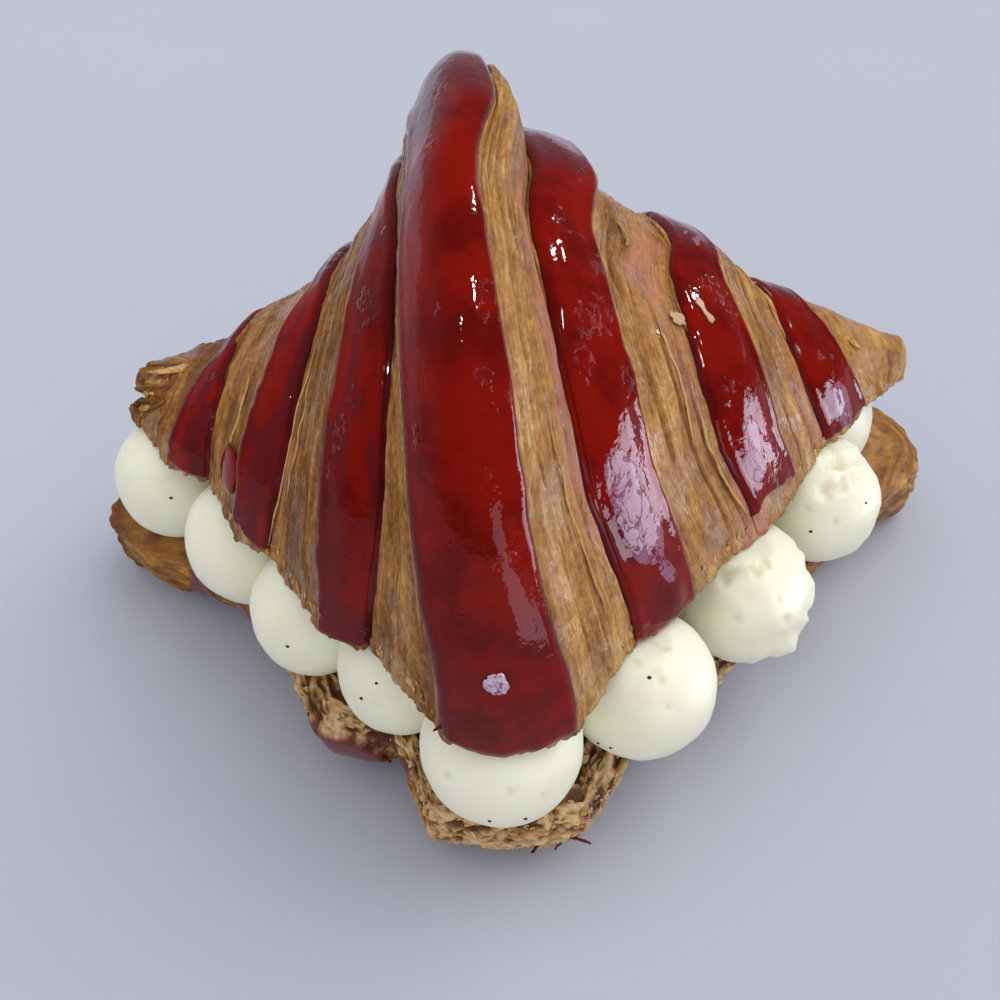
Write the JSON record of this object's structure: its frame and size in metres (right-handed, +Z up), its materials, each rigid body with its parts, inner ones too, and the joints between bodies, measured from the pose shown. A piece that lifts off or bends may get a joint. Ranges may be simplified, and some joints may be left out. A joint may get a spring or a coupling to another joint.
{
  "type": "filled croissant",
  "caption": "Striped strawberry croissant split level, with a row of piped vanilla cream balls between its two halves.",
  "frame": {"origin": "on the surface that the croissant lies on, under the middle of its box", "axes": "+X along the croissant's length to its right tip, -Y towards its blunt front, +Z up"},
  "size_m": [0.1542, 0.1066, 0.0961],
  "materials": {
    "crust": "golden laminated pastry with a thin syrup shine",
    "crumb": "cut porous crumb and browned crust",
    "glaze": "deep red glossy strawberry band",
    "cream": "smooth ivory vanilla cream with fine specks"
  },
  "bodies": {
    "root": {"crust_top": "crust", "crust_bottom": "crumb", "cream_core": "cream", "cream_left_1": "cream", "cream_left_2": "cream", "cream_left_3": "cream", "cream_left_4": "cream", "cream_front": "cream", "cream_right_1": "cream", "cream_right_2": "cream", "cream_right_3": "cream", "cream_right_4": "cream", "cream_rear_1": "cream", "cream_rear_2": "cream", "cream_rear_3": "cream", "cream_rear_4": "cream", "cream_rear_5": "cream", "cream_rear_6": "cream"}
  },
  "joints": []
}
